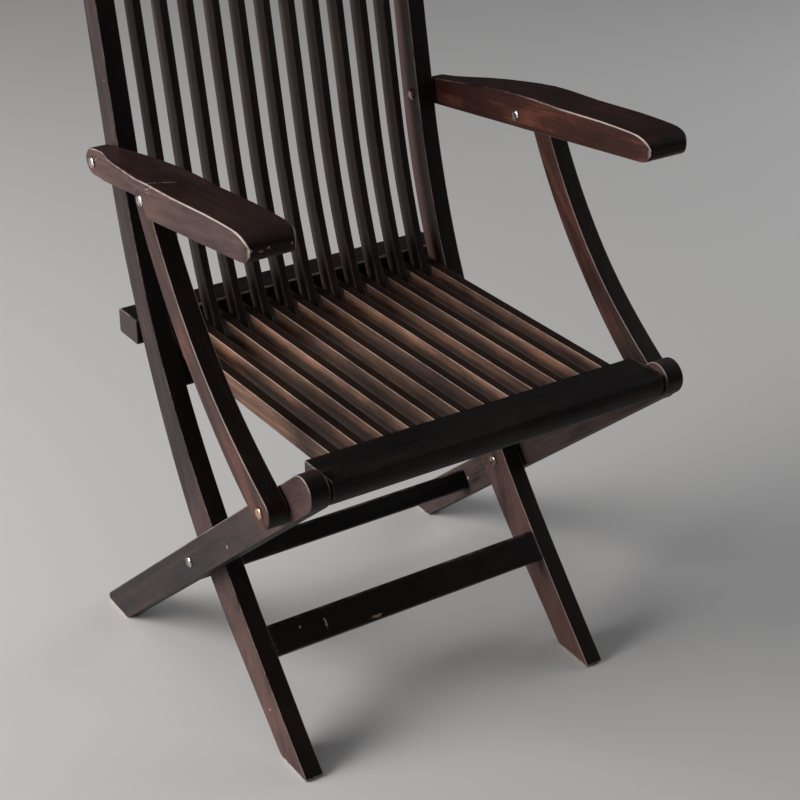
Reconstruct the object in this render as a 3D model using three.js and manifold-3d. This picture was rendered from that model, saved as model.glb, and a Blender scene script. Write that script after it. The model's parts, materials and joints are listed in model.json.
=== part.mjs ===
// Folding teak armchair, modelled open, in millimetres.
// +Z is up, the sitter faces -Y, and X = 0 is the chair's plane of symmetry.
// Each physical piece is one mesh. Side outlines are drawn in (y, z) and extruded across the chair.

import * as THREE from 'three';
import { mergeVertices } from 'three/addons/utils/BufferGeometryUtils.js';
import Module from 'manifold-3d';

const wasm = await Module();
wasm.setup();

// Sizes across the chair, from the centre plane outwards
const backHalfClear = 190;
const uprightThickness = 24;
const legGap = 5;
const legThickness = 24;
const supportGap = 2.5;
const supportThickness = 24;
const armGap = 3;
const armOverhang = 5.5;

// Side profile of a curved front upright, which is also the back's stile
const backHeight = 915;
const lowerLeanDeg = 45.2;
const upperLeanDeg = 13.2;
const lowerStraight = 158.5;
const bendRadius = 1033;
const uprightFootWidth = 41.8;
const uprightPivotWidth = 52.6;
const uprightSeatWidth = 36.9;
const uprightTopWidth = 30.6;
const pivotRun = 265.8;
const seatRun = 560;
const uprightTopRounding = 9;

// Side profile of a straight rear leg, measured from the main pivot
const legAngleDeg = 41.8;
const legWidth = 41;
const seatPivotReach = 338.4;
const supportPivotReach = 288.3;
const heelRounding = 6.5;

// Seat, whose hinge axis is the centre of the rear leg's round nose
const seatSlopeDeg = 2.02;
const seatRise = 12.8;
const seatDepth = 25;
const frontRailRadius = 19.3;
const frontRailReach = 38.3;
const frontRailDepth = 28;
const seatEndGap = 3.2;
const crossbarWidth = 46.5;
const crossbarDepth = 31;
const crossbarStep = 8;
const crossbarRounding = 4;
const crossbarGap = 2.9;
const seatSlatThickness = 12;
const seatSideThickness = 13.4;

// Back, whose slats stand in the gaps between the seat slats
const seatSideGap = 4.55;
const backSlatCount = 11;
const backSlatThickness = 10;
const backSlatDepth = 24;
const backRecess = 3.9;
const lowerRailHeight = 38;
const topRailHeight = 46;
const topRailDrop = 1.5;
const topRailRounding = 5;

// Stretchers
const frontStretcherRun = 127;
const frontStretcherHeight = 37.5;
const frontStretcherDepth = 20;
const rearStretcherRun = 127;
const rearStretcherHeight = 26;
const rearStretcherDepth = 20;

// Armrest, measured from its pivot on the upright
const armPivotHeight = 614;
const armPivotForward = 3.8;
const armReach = 412.2;
const armCrest = 72.1;
const armRearRadius = 16.2;
const armUndersideDeg = 8.48;
const armEdge = 3;

// Arm support, a curved slat from the armrest down to the rear leg
const supportPivotAhead = 177.5;
const supportPivotAbove = 25;
const supportSag = 24;
const supportWidth = 29.5;
const supportFootWidth = 37;
const supportRoofGap = 1.2;
const supportSideGap = 3;

// Hardware
const shankRadius = 3.6;
const domeRadius = 6.6;
const domeHeight = 2.6;
const nutGrip = 1.3;
const spacerRadius = 9;
const dowelRadius = 6;
const dowelInRail = 28;
const dowelInLeg = 16;

// Joinery
const clearance = 0.3;
const arris = 2;
const smallArris = 1.4;
const cornerRounding = 3;
const tenonLength = 14;
const tenonWidthShare = 0.55;
const overrun = 5;

// Derived places across the chair
const uprightOuter = backHalfClear + uprightThickness;
const legInner = uprightOuter + legGap;
const legOuter = legInner + legThickness;
const supportInner = legOuter + supportGap;
const supportOuter = supportInner + supportThickness;
const armInner = uprightOuter + armGap;
const armOuter = supportOuter + armOverhang;
const armWidth = armOuter - armInner;
const rabbetFloor = supportInner - supportSideGap;

// Finishes
const teak = { color: 0x3a2620, roughness: 0.46, metalness: 0 };
const teakDark = { color: 0x2c1c19, roughness: 0.48, metalness: 0 };
const teakArm = { color: 0x4a3028, roughness: 0.42, metalness: 0 };
const steel = { color: 0xb9b7b2, roughness: 0.3, metalness: 1 };
const copper = { color: 0xa9714f, roughness: 0.34, metalness: 1 };

const chair = new THREE.Group();

function radians(degrees) {
  return THREE.MathUtils.degToRad(degrees);
}

function vec(y, z) {
  return new THREE.Vector2(y, z);
}

// A point moved along a direction and then along a second one
function offset(from, along, distance, across = along, shift = 0) {
  const moved = from.clone().addScaledVector(along, distance);
  return moved.addScaledVector(across, shift);
}

function direction(degrees) {
  const angle = radians(degrees);
  return vec(Math.cos(angle), Math.sin(angle));
}

function smooth(share) {
  const held = THREE.MathUtils.clamp(share, 0, 1);
  return (1 - Math.cos(Math.PI * held)) / 2;
}

// Points of a circular arc, from one angle to another in degrees
function arcPoints(centre, radius, fromDeg, toDeg, steps) {
  const points = [];
  for (let i = 0; i <= steps; i += 1) {
    const angle = THREE.MathUtils.lerp(fromDeg, toDeg, i / steps);
    points.push(offset(centre, direction(angle), radius));
  }
  return points;
}

// A polygon whose corners take the radii given with them
function roundedOutline(corners, steps = 4) {
  const points = [];
  corners.forEach(({ at, radius }, i) => {
    if (!radius) {
      points.push(at);
      return;
    }
    const before = corners[(i + corners.length - 1) % corners.length].at;
    const after = corners[(i + 1) % corners.length].at;
    const toBefore = before.clone().sub(at).normalize();
    const toAfter = after.clone().sub(at).normalize();
    const half = Math.acos(toBefore.dot(toAfter)) / 2;
    const inward = toBefore.clone().add(toAfter).normalize();
    const centre = offset(at, inward, radius / Math.sin(half));
    const start = offset(at, toBefore, radius / Math.tan(half)).sub(centre);
    const end = offset(at, toAfter, radius / Math.tan(half)).sub(centre);
    for (let k = 0; k <= steps; k += 1) {
      const spoke = start.clone().lerp(end, k / steps).normalize();
      points.push(offset(centre, spoke, radius));
    }
  });
  return points;
}

// A side outline extruded across the chair between two places, with eased long edges
function board(outline, fromX, toX, edge) {
  const geometry = new THREE.ExtrudeGeometry(new THREE.Shape(outline), {
    depth: toX - fromX - 2 * edge,
    bevelEnabled: edge > 0,
    bevelThickness: edge,
    bevelSize: edge,
    bevelOffset: -edge,
    bevelSegments: 2,
    curveSegments: 1,
  });
  const across = new THREE.Matrix4().makeBasis(
    new THREE.Vector3(0, 1, 0),
    new THREE.Vector3(0, 0, 1),
    new THREE.Vector3(1, 0, 0),
  );
  across.setPosition(fromX + edge, 0, 0);
  return geometry.applyMatrix4(across);
}

// A turned piece about an axis across the chair, from (radius, distance outwards) pairs
function turned(profile, centre, segments = 14) {
  const points = profile.map(([radius, out]) => vec(radius, out));
  const geometry = new THREE.LatheGeometry(points, segments);
  geometry.rotateZ(-Math.PI / 2);
  return geometry.translate(0, centre.x, centre.y);
}

function solidOf(geometry) {
  const bare = geometry.clone();
  bare.deleteAttribute('normal');
  bare.deleteAttribute('uv');
  const merged = mergeVertices(bare);
  const vertProperties = new Float32Array(merged.attributes.position.array);
  // Triangles that closed up at an axis are left out
  const order = [];
  for (let i = 0; i < merged.index.count; i += 3) {
    const [a, b, c] = merged.index.array.slice(i, i + 3);
    if (a !== b && b !== c && c !== a) {
      order.push(a, b, c);
    }
  }
  const triVerts = new Uint32Array(order);
  return new wasm.Manifold(new wasm.Mesh({ numProp: 3, vertProperties, triVerts }));
}

function geometryOf(solid) {
  const { vertProperties, triVerts } = solid.getMesh();
  const geometry = new THREE.BufferGeometry();
  geometry.setAttribute('position', new THREE.Float32BufferAttribute(vertProperties, 3));
  geometry.setIndex(Array.from(triVerts));
  geometry.computeVertexNormals();
  return geometry;
}

// A geometry with others joined to it and others cut from it
function shaped(base, joined, cut) {
  let solid = solidOf(base);
  for (const geometry of joined) {
    solid = solid.add(solidOf(geometry));
  }
  for (const geometry of cut) {
    solid = solid.subtract(solidOf(geometry));
  }
  return geometryOf(solid);
}

function addPiece(name, geometry, finish) {
  const mesh = new THREE.Mesh(geometry, new THREE.MeshStandardMaterial(finish));
  mesh.name = name;
  chair.add(mesh);
}

// The mirror image of a right-hand geometry, with its triangles turned to face outwards
function mirrored(geometry) {
  const copy = geometry.index ? geometry.clone() : mergeVertices(geometry);
  copy.scale(-1, 1, 1);
  const order = copy.index.array;
  for (let i = 0; i < order.length; i += 3) {
    const kept = order[i];
    order[i] = order[i + 1];
    order[i + 1] = kept;
  }
  copy.deleteAttribute('normal');
  copy.deleteAttribute('uv');
  copy.computeVertexNormals();
  return copy;
}

function addPair(name, geometry, finish) {
  addPiece(`${name}_right`, geometry, finish);
  addPiece(`${name}_left`, mirrored(geometry), finish);
}

// Centreline of the uprights: a straight foot, one long bend and a straight back
const bendLength = bendRadius * radians(lowerLeanDeg - upperLeanDeg);

function leanAt(run) {
  const bent = THREE.MathUtils.clamp(run - lowerStraight, 0, bendLength);
  return radians(lowerLeanDeg) - bent / bendRadius;
}

function backAlong(run) {
  return vec(Math.sin(leanAt(run)), Math.cos(leanAt(run)));
}

function backAcross(run) {
  return vec(Math.cos(leanAt(run)), -Math.sin(leanAt(run)));
}

function backCentre(run) {
  const straight = Math.min(run, lowerStraight);
  const point = vec(0, 0).addScaledVector(backAlong(0), straight);
  if (run > lowerStraight) {
    const lean = leanAt(run);
    const low = radians(lowerLeanDeg);
    point.x += bendRadius * (Math.cos(lean) - Math.cos(low));
    point.y += bendRadius * (Math.sin(low) - Math.sin(lean));
  }
  const past = Math.max(run - lowerStraight - bendLength, 0);
  return point.addScaledVector(backAlong(run), past);
}

// Run along the centreline at which it reaches a height
function runAtHeight(height) {
  let low = 0;
  let high = height * 2;
  for (let i = 0; i < 60; i += 1) {
    const middle = (low + high) / 2;
    if (backCentre(middle).y < height) {
      low = middle;
    } else {
      high = middle;
    }
  }
  return (low + high) / 2;
}

const topRun = runAtHeight(backHeight);

function uprightWidth(run) {
  if (run < pivotRun) {
    return THREE.MathUtils.lerp(uprightFootWidth, uprightPivotWidth, smooth(run / pivotRun));
  }
  if (run < seatRun) {
    const share = smooth((run - pivotRun) / (seatRun - pivotRun));
    return THREE.MathUtils.lerp(uprightPivotWidth, uprightSeatWidth, share);
  }
  const share = smooth((run - seatRun) / (topRun - seatRun));
  return THREE.MathUtils.lerp(uprightSeatWidth, uprightTopWidth, share);
}

function frontEdge(run, inset = 0) {
  return offset(backCentre(run), backAcross(run), inset - uprightWidth(run) / 2);
}

function rearEdge(run) {
  return offset(backCentre(run), backAcross(run), uprightWidth(run) / 2);
}

// Runs at even steps from one place to another
function runsBetween(from, to, steps) {
  return Array.from({ length: steps + 1 }, (_, i) => THREE.MathUtils.lerp(from, to, i / steps));
}

// Pivots in the side view
const mainPivot = backCentre(pivotRun);
const legDown = direction(-legAngleDeg);
const legUp = direction(90 - legAngleDeg);
const seatPivot = offset(mainPivot, legDown, -seatPivotReach);
const supportFootPivot = offset(mainPivot, legDown, -supportPivotReach);
const armRun = runAtHeight(armPivotHeight);
const armPivot = vec(backCentre(armRun).x - armPivotForward, armPivotHeight);
const supportTopPivot = vec(armPivot.x - supportPivotAhead, armPivot.y + supportPivotAbove);

// Seat plane, and points given by a reach from the seat's hinge and a drop from its top
const seatBack = direction(-seatSlopeDeg);
const seatUp = direction(90 - seatSlopeDeg);

function seatPoint(reach, drop) {
  return offset(seatPivot, seatBack, reach, seatUp, seatRise - drop);
}

// Reach at which the crossbar's upper front corner clears the uprights' rear edges
function findSeatReach() {
  let run = seatRun;
  for (let i = 0; i < 40; i += 1) {
    const edge = rearEdge(run);
    const reach = edge.clone().sub(seatPivot).dot(seatBack);
    run += seatPoint(reach, -crossbarStep).y - edge.y;
  }
  const sidestep = crossbarGap / Math.cos(leanAt(run));
  return rearEdge(run).sub(seatPivot).dot(seatBack) + sidestep;
}

const seatReach = findSeatReach();

// Lower back rail, whose top carries the seat slats from below
function lowerRailRun() {
  let run = seatRun;
  for (let i = 0; i < 40; i += 1) {
    const middle = offset(frontEdge(run, backRecess), backAcross(run), backSlatDepth / 2);
    const reach = middle.clone().sub(seatPivot).dot(seatBack);
    run += seatPoint(reach, seatDepth + clearance).y - middle.y;
  }
  return run;
}

const lowerRailTop = lowerRailRun();
const lowerRailBottom = lowerRailTop - lowerRailHeight;
const topRailTop = topRun - topRailDrop;
const topRailBottom = topRailTop - topRailHeight;

function backFace(run, depth) {
  return offset(frontEdge(run, backRecess), backAcross(run), depth);
}

// A plain box whose axes follow a direction in the side view, for tenons and mortises
function sideBox(centre, along, length, height, fromX, toX) {
  const geometry = new THREE.BoxGeometry(toX - fromX, length, height);
  geometry.rotateX(along.angle());
  return geometry.translate((fromX + toX) / 2, centre.x, centre.y);
}

function boreCut(centre, radius, fromX, toX) {
  const profile = [[0, fromX], [radius, fromX], [radius, toX], [0, toX]];
  return turned(profile, centre);
}

// Tenons of a slat: where it ends, which way it points and how wide and deep it is
function tenon(end, along, thickness, depth, x, ease) {
  const half = thickness * tenonWidthShare / 2 + ease;
  const height = depth * tenonWidthShare + 2 * ease;
  const length = tenonLength + overrun + ease;
  const centre = offset(end, along, (tenonLength + ease - overrun) / 2);
  return sideBox(centre, along, length, height, x - half, x + half);
}

// Tenon of a rail across the chair, into the face that stands at a place on X
function crossTenon(centre, along, length, height, face, ease) {
  const reach = face + tenonLength + ease;
  return sideBox(
    centre,
    along,
    length * tenonWidthShare + 2 * ease,
    height * tenonWidthShare + 2 * ease,
    face - overrun,
    reach,
  );
}

// Places of the slats across the chair
const seatSidePlace = backHalfClear - seatSideGap - seatSideThickness / 2;
const slatPitch = (2 * seatSidePlace) / backSlatCount;
const backSlatPlaces = Array.from(
  { length: backSlatCount },
  (_, i) => (i - (backSlatCount - 1) / 2) * slatPitch,
);
const seatSlatPlaces = backSlatPlaces.slice(1).map((x) => x - slatPitch / 2);

// Where each cross rail of the back and base meets the side members
const lowerRailCentre = backFace((lowerRailTop + lowerRailBottom) / 2, backSlatDepth / 2);
const topRailCentre = backFace((topRailTop + topRailBottom) / 2, backSlatDepth / 2);
const frontStretcherMiddle = frontStretcherRun + frontStretcherHeight / 2;
const frontStretcherCentre = offset(
  frontEdge(frontStretcherMiddle),
  backAcross(frontStretcherMiddle),
  frontStretcherDepth / 2,
);
const rearStretcherCentre = offset(mainPivot, legDown, rearStretcherRun + rearStretcherDepth / 2);
const crossRails = [
  [lowerRailCentre, backAlong(lowerRailTop), lowerRailHeight, backSlatDepth],
  [topRailCentre, backAlong(topRun), topRailHeight, backSlatDepth],
  [frontStretcherCentre, backAlong(0), frontStretcherHeight, frontStretcherDepth],
];

function makeUprights() {
  const halfFoot = uprightFootWidth / 2 / Math.cos(radians(lowerLeanDeg));
  const runs = [
    ...runsBetween(uprightFootWidth, lowerStraight, 4),
    ...runsBetween(lowerStraight, lowerStraight + bendLength, 20).slice(1),
    ...runsBetween(lowerStraight + bendLength, topRun, 4).slice(1),
  ];
  const corners = [{ at: vec(-halfFoot, 0), radius: cornerRounding }, { at: vec(halfFoot, 0), radius: cornerRounding }];
  for (const run of runs.slice(0, -1)) {
    corners.push({ at: rearEdge(run), radius: 0 });
  }
  corners.push({ at: rearEdge(topRun), radius: uprightTopRounding });
  corners.push({ at: frontEdge(topRun), radius: uprightTopRounding });
  for (const run of runs.slice(0, -1).reverse()) {
    corners.push({ at: frontEdge(run), radius: 0 });
  }
  const plank = board(roundedOutline(corners), backHalfClear, uprightOuter, arris);
  const cuts = crossRails.map(([centre, along, length, height]) =>
    crossTenon(centre, along, length, height, backHalfClear, clearance));
  for (const pivot of [mainPivot, armPivot]) {
    const inside = backHalfClear - overrun;
    cuts.push(boreCut(pivot, shankRadius + clearance, inside, uprightOuter + overrun));
  }
  addPair('upright', shaped(plank, [], cuts), teak);
}

// A rail between the uprights, with a tenon at each end
function makeCrossRail(name, outline, rail, halfLength, cuts, finish) {
  const [centre, along, length, height] = rail;
  const end = halfLength - clearance;
  const beam = board(outline, -end, end, smallArris);
  const peg = crossTenon(centre, along, length, height, halfLength, 0);
  addPiece(name, shaped(beam, [peg, mirrored(peg)], cuts), finish);
}

function makeLowerRail() {
  const front = backFace(lowerRailTop, 0);
  const rear = backFace(lowerRailTop, backSlatDepth);
  const under = seatPoint(0, seatDepth + clearance);
  // Top corners moved along the back until they lie under the seat slats
  const lower = (corner) => {
    const gap = under.clone().sub(corner).dot(seatUp) / backAlong(lowerRailTop).dot(seatUp);
    return offset(corner, backAlong(lowerRailTop), gap);
  };
  const corners = [
    { at: backFace(lowerRailBottom, 0), radius: cornerRounding },
    { at: backFace(lowerRailBottom, backSlatDepth), radius: cornerRounding },
    { at: lower(rear), radius: cornerRounding },
    { at: lower(front), radius: cornerRounding },
  ];
  const cuts = backSlatPlaces.map((x) => backSlatTenon(x, lowerRailTop, -1, clearance));
  makeCrossRail('lower_back_rail', roundedOutline(corners, 3), crossRails[0], backHalfClear, cuts, teakDark);
}

function makeTopRail() {
  const corners = [
    { at: backFace(topRailBottom, 0), radius: cornerRounding },
    { at: backFace(topRailBottom, backSlatDepth), radius: cornerRounding },
    { at: backFace(topRailTop, backSlatDepth), radius: topRailRounding },
    { at: backFace(topRailTop, 0), radius: topRailRounding },
  ];
  const cuts = backSlatPlaces.map((x) => backSlatTenon(x, topRailBottom, 1, clearance));
  makeCrossRail('top_back_rail', roundedOutline(corners), crossRails[1], backHalfClear, cuts, teak);
}

function makeFrontStretcher() {
  const top = frontStretcherRun + frontStretcherHeight;
  const deep = (run) => offset(frontEdge(run), backAcross(run), frontStretcherDepth);
  const corners = [
    { at: frontEdge(frontStretcherRun), radius: cornerRounding },
    { at: deep(frontStretcherRun), radius: cornerRounding },
    { at: deep(top), radius: cornerRounding },
    { at: frontEdge(top), radius: cornerRounding },
  ];
  makeCrossRail('front_stretcher', roundedOutline(corners, 3), crossRails[2], backHalfClear, [], teak);
}

// A back slat's tenon at one of its ends, up or down the back
function backSlatTenon(x, run, way, ease) {
  const end = backFace(run, backSlatDepth / 2);
  const along = backAlong(run).multiplyScalar(way);
  return tenon(end, along, backSlatThickness, backSlatDepth, x, ease);
}

function makeBackSlats() {
  const low = lowerRailTop + backSlatDepth / 2;
  const high = topRailBottom - clearance;
  const bendEnd = lowerStraight + bendLength;
  const runs = [...runsBetween(low, bendEnd, 6), ...runsBetween(bendEnd, high, 2).slice(1)];
  // The foot is cut along the rail's sloping top
  const foot = (depth) => {
    const at = backFace(low, depth);
    const gap = seatPoint(0, seatDepth).sub(at).dot(seatUp) / backAlong(low).dot(seatUp);
    return offset(at, backAlong(low), gap);
  };
  const outline = [foot(0), foot(backSlatDepth)];
  outline.push(...runs.map((run) => backFace(run, backSlatDepth)));
  outline.push(...runs.reverse().map((run) => backFace(run, 0)));
  backSlatPlaces.forEach((x, i) => {
    const half = backSlatThickness / 2;
    const slat = board(outline, x - half, x + half, smallArris);
    const ends = [backSlatTenon(x, lowerRailTop, -1, 0), backSlatTenon(x, topRailBottom, 1, 0)];
    addPiece(`back_slat_${String(i + 1).padStart(2, '0')}`, shaped(slat, ends, []), teak);
  });
}

function makeRearLegs() {
  const half = legWidth / 2;
  const down = (side) => (seatPivot.y + side * half * legUp.y) / -legDown.y;
  const upperHeel = offset(seatPivot, legDown, down(1), legUp, half);
  const lowerHeel = offset(seatPivot, legDown, down(-1), legUp, -half);
  const nose = arcPoints(seatPivot, half, 90 - legAngleDeg, 270 - legAngleDeg, 16);
  const corners = nose.map((at) => ({ at, radius: 0 }));
  corners.push({ at: lowerHeel, radius: cornerRounding });
  corners.push({ at: upperHeel, radius: heelRounding });
  const plank = board(roundedOutline(corners), legInner, legOuter, arris);
  const cuts = [
    boreCut(mainPivot, shankRadius + clearance, legInner - overrun, legOuter + overrun),
    boreCut(seatPivot, dowelRadius + clearance, legInner - overrun, legInner + dowelInLeg + clearance),
    crossTenon(rearStretcherCentre, legDown, rearStretcherDepth, rearStretcherHeight, legInner, clearance),
  ];
  addPair('rear_leg', shaped(plank, [], cuts), teak);
}

function makeRearStretcher() {
  const near = offset(rearStretcherCentre, legDown, -rearStretcherDepth / 2);
  const far = offset(rearStretcherCentre, legDown, rearStretcherDepth / 2);
  const half = rearStretcherHeight / 2;
  const corners = [
    { at: offset(near, legUp, -half), radius: cornerRounding },
    { at: offset(far, legUp, -half), radius: cornerRounding },
    { at: offset(far, legUp, half), radius: cornerRounding },
    { at: offset(near, legUp, half), radius: cornerRounding },
  ];
  const rail = [rearStretcherCentre, legDown, rearStretcherDepth, rearStretcherHeight];
  makeCrossRail('rear_stretcher', roundedOutline(corners, 3), rail, legInner, [], teakDark);
}

// A seat slat's tenon into the front rail or into the crossbar
function seatTenon(x, reach, way, thickness, ease) {
  const end = seatPoint(reach, seatDepth / 2);
  const along = seatBack.clone().multiplyScalar(way);
  return tenon(end, along, thickness, seatDepth, x, ease);
}

const seatMembers = [
  ...seatSlatPlaces.map((x, i) => [`seat_slat_${String(i + 1).padStart(2, '0')}`, x, seatSlatThickness]),
  ['seat_side_rail_left', -seatSidePlace, seatSideThickness],
  ['seat_side_rail_right', seatSidePlace, seatSideThickness],
];

function makeSeatMembers() {
  const front = frontRailReach + clearance;
  const rear = seatReach - clearance;
  const outline = [
    seatPoint(front, seatDepth),
    seatPoint(rear, seatDepth),
    seatPoint(rear, 0),
    seatPoint(front, 0),
  ];
  for (const [name, x, thickness] of seatMembers) {
    const slat = board(outline, x - thickness / 2, x + thickness / 2, smallArris);
    const ends = [
      seatTenon(x, frontRailReach, -1, thickness, 0),
      seatTenon(x, seatReach, 1, thickness, 0),
    ];
    addPiece(name, shaped(slat, ends, []), teak);
  }
}

function makeFrontRail() {
  const half = legInner - seatEndGap;
  const creaseDeg = THREE.MathUtils.radToDeg(Math.asin(seatRise / frontRailRadius));
  const nose = arcPoints(
    seatPivot,
    frontRailRadius,
    180 - creaseDeg - seatSlopeDeg,
    270 - seatSlopeDeg,
    12,
  );
  const corners = nose.map((at) => ({ at, radius: 0 }));
  corners.push({ at: seatPoint(frontRailReach, frontRailDepth), radius: cornerRounding });
  corners.push({ at: seatPoint(frontRailReach, 0), radius: 0 });
  const beam = board(roundedOutline(corners), -half, half, arris);
  const cuts = seatMembers.map(([, x, thickness]) =>
    seatTenon(x, frontRailReach, -1, thickness, clearance));
  const hole = boreCut(seatPivot, dowelRadius + clearance, half - dowelInRail, half + overrun);
  cuts.push(hole, mirrored(hole));
  addPiece('seat_front_rail', shaped(beam, [], cuts), teak);
}

function makeCrossbar() {
  const half = legInner - seatEndGap;
  const rear = seatReach + crossbarWidth;
  const corners = [
    { at: seatPoint(seatReach, crossbarDepth - crossbarStep), radius: cornerRounding },
    { at: seatPoint(rear, crossbarDepth - crossbarStep), radius: crossbarRounding },
    { at: seatPoint(rear, -crossbarStep), radius: crossbarRounding },
    { at: seatPoint(seatReach, -crossbarStep), radius: crossbarRounding },
  ];
  const beam = board(roundedOutline(corners), -half, half, arris);
  const cuts = seatMembers.map(([, x, thickness]) =>
    seatTenon(x, seatReach, 1, thickness, clearance));
  addPiece('seat_rear_crossbar', shaped(beam, [], cuts), teakDark);
}

// Armrest outlines as shares of its reach from the pivot and of its crest above the pivot
const armTopShares = [
  [0.161, 0.423], [0.328, 0.608], [0.48, 0.739], [0.625, 0.816],
  [0.8, 0.94], [0.93, 1], [0.965, 0.992], [0.984, 0.96], [0.997, 0.9], [1.003, 0.825], [1.002, 0.745],
  [0.993, 0.66], [0.975, 0.607],
];
const armUndersideEndShare = 0.945;
const armTopTangentDeg = 68;
const armRoundingShare = 0.45;
// Outer edge seen from above, as shares of the reach and of the armrest's width
const armPlanShares = [
  [-0.05, 0.422], [0.022, 0.422], [0.061, 0.452], [0.1, 0.522], [0.136, 0.605], [0.17, 0.685], [0.235, 0.79],
  [0.296, 0.862], [0.369, 0.95], [0.43, 1], [0.974, 1], [0.985, 0.99], [0.994, 0.965], [1.002, 0.92],
];
const armInnerShares = [[0.974, 0], [0.985, 0.01], [0.994, 0.035], [1.002, 0.08]];
// Places of the sections, as shares of the rear radius behind the pivot and of the reach ahead of it
const armRearShares = [0.96, 0.865, 0.7, 0.495, 0.255];
const armStationShares = [
  0, 0.011, 0.022, 0.042, 0.061, 0.1, 0.136, 0.153, 0.17, 0.235, 0.296, 0.369, 0.43, 0.5, 0.56, 0.625,
  0.7, 0.8, 0.86, 0.9, 0.93, 0.95, 0.965, 0.976, 0.985, 0.992, 0.997, 1, 1.002,
];

// A value read from a table of shares at an in-between place
function readShare(table, share) {
  const next = table.findIndex(([at]) => at >= share);
  if (next === -1) {
    return table[table.length - 1][1];
  }
  if (next === 0) {
    return table[0][1];
  }
  const [fromAt, from] = table[next - 1];
  const [toAt, to] = table[next];
  return THREE.MathUtils.mapLinear(share, fromAt, toAt, from, to);
}

function armSideOutline() {
  const place = ([reach, rise]) => vec(armPivot.x - reach * armReach, armPivot.y + rise * armCrest);
  const underside = direction(180 - armUndersideDeg);
  const start = offset(armPivot, direction(270 - armUndersideDeg), armRearRadius);
  const run = armUndersideEndShare * armReach / -underside.x;
  const fromDeg = 270 - armUndersideDeg;
  const rear = arcPoints(armPivot, armRearRadius, fromDeg, 360 + armTopTangentDeg, 14);
  const top = [rear.pop(), ...armTopShares.map(place), offset(start, underside, run)];
  return [...rear, ...new THREE.SplineCurve(top).getPoints(64)];
}

// Highest and lowest crossing of a closed outline at one place along the chair
function heightSpan(outline, y) {
  const found = [];
  outline.forEach((a, i) => {
    const b = outline[(i + 1) % outline.length];
    if ((a.x - y) * (b.x - y) <= 0 && a.x !== b.x) {
      found.push(THREE.MathUtils.mapLinear(y, a.x, b.x, a.y, b.y));
    }
  });
  return [Math.min(...found), Math.max(...found)];
}

// A rounded rectangle in the cross-section at one place along the armrest
function armSection(outline, y) {
  const share = (armPivot.x - y) / armReach;
  const [bottom, top] = heightSpan(outline, y);
  const inner = armInner + readShare(armInnerShares, share) * armWidth;
  const outer = armInner + readShare(armPlanShares, share) * armWidth;
  const radius = Math.min(armEdge, (top - bottom) * armRoundingShare);
  const corners = [vec(inner, bottom), vec(outer, bottom), vec(outer, top), vec(inner, top)];
  const rounded = roundedOutline(corners.map((at) => ({ at, radius })), 3);
  return rounded.map((point) => new THREE.Vector3(point.x, y, point.y));
}

function armLoft() {
  const outline = armSideOutline();
  const places = [
    ...armRearShares.map((share) => armPivot.x + share * armRearRadius),
    ...armStationShares.map((share) => armPivot.x - share * armReach),
  ];
  const sections = places.map((y) => armSection(outline, y));
  const count = sections[0].length;
  const positions = [];
  for (const section of sections) {
    for (const point of section) {
      positions.push(point.x, point.y, point.z);
    }
  }
  const order = [];
  for (let s = 0; s + 1 < sections.length; s += 1) {
    for (let i = 0; i < count; i += 1) {
      const a = s * count + i;
      const b = s * count + (i + 1) % count;
      order.push(a, b + count, a + count, a, b, b + count);
    }
  }
  const last = (sections.length - 1) * count;
  for (let i = 1; i + 1 < count; i += 1) {
    order.push(0, i + 1, i);
    order.push(last, last + i, last + i + 1);
  }
  const geometry = new THREE.BufferGeometry();
  geometry.setAttribute('position', new THREE.Float32BufferAttribute(positions, 3));
  geometry.setIndex(order);
  return geometry;
}

// Centreline of the arm support: an arc that sags to the rear of the line between its bolts
const supportChord = supportFootPivot.clone().sub(supportTopPivot);
const supportRadius = (supportChord.length() ** 2 / 4 + supportSag ** 2) / (2 * supportSag);
const supportMiddle = supportTopPivot.clone().add(supportFootPivot).multiplyScalar(0.5);
const supportAhead = vec(supportChord.y, -supportChord.x).normalize();
const supportCentre = offset(supportMiddle, supportAhead, supportRadius - supportSag);
const supportTopDeg = spokeDegrees(supportTopPivot);
const supportFootDeg = spokeDegrees(supportFootPivot);

function spokeDegrees(point) {
  const spoke = point.clone().sub(supportCentre);
  return THREE.MathUtils.radToDeg(Math.atan2(spoke.y, spoke.x));
}

function supportPoint(share, out) {
  const angle = THREE.MathUtils.lerp(supportTopDeg, supportFootDeg, share);
  return offset(supportCentre, direction(angle), supportRadius + out);
}

function supportHalf(share) {
  return THREE.MathUtils.lerp(supportWidth, supportFootWidth, smooth(share * 2 - 1)) / 2;
}

// Places along the arm support that its room in the armrest follows
const rabbetShares = [0.05, 0.1, 0.15, 0.2];

// Room for the arm support in the armrest's outer face, open below and to the rear
function rabbetCut() {
  const room = supportWidth / 2 + supportRoofGap;
  const toArmPivot = armPivot.clone().sub(supportTopPivot).normalize();
  const roofNormal = vec(-toArmPivot.y, toArmPivot.x);
  const roofDeg = THREE.MathUtils.radToDeg(Math.atan2(roofNormal.y, roofNormal.x));
  const outline = arcPoints(supportTopPivot, room, roofDeg, supportTopDeg + 180, 7);
  for (const share of rabbetShares) {
    outline.push(supportPoint(share, -room));
  }
  const low = outline[outline.length - 1];
  const back = armPivot.x + armRearRadius + overrun;
  outline.push(vec(back, low.y));
  const roofStart = outline[0];
  const run = (back - roofStart.x) / toArmPivot.x;
  outline.push(offset(roofStart, toArmPivot, run));
  return board(outline, rabbetFloor, armOuter + overrun, 0);
}

function makeArmrests() {
  const cuts = [
    rabbetCut(),
    boreCut(armPivot, shankRadius + clearance, armInner - overrun, armOuter),
    boreCut(supportTopPivot, shankRadius + clearance, armInner - overrun, armOuter),
  ];
  addPair('armrest', shaped(armLoft(), [], cuts), teakArm);
}

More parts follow.
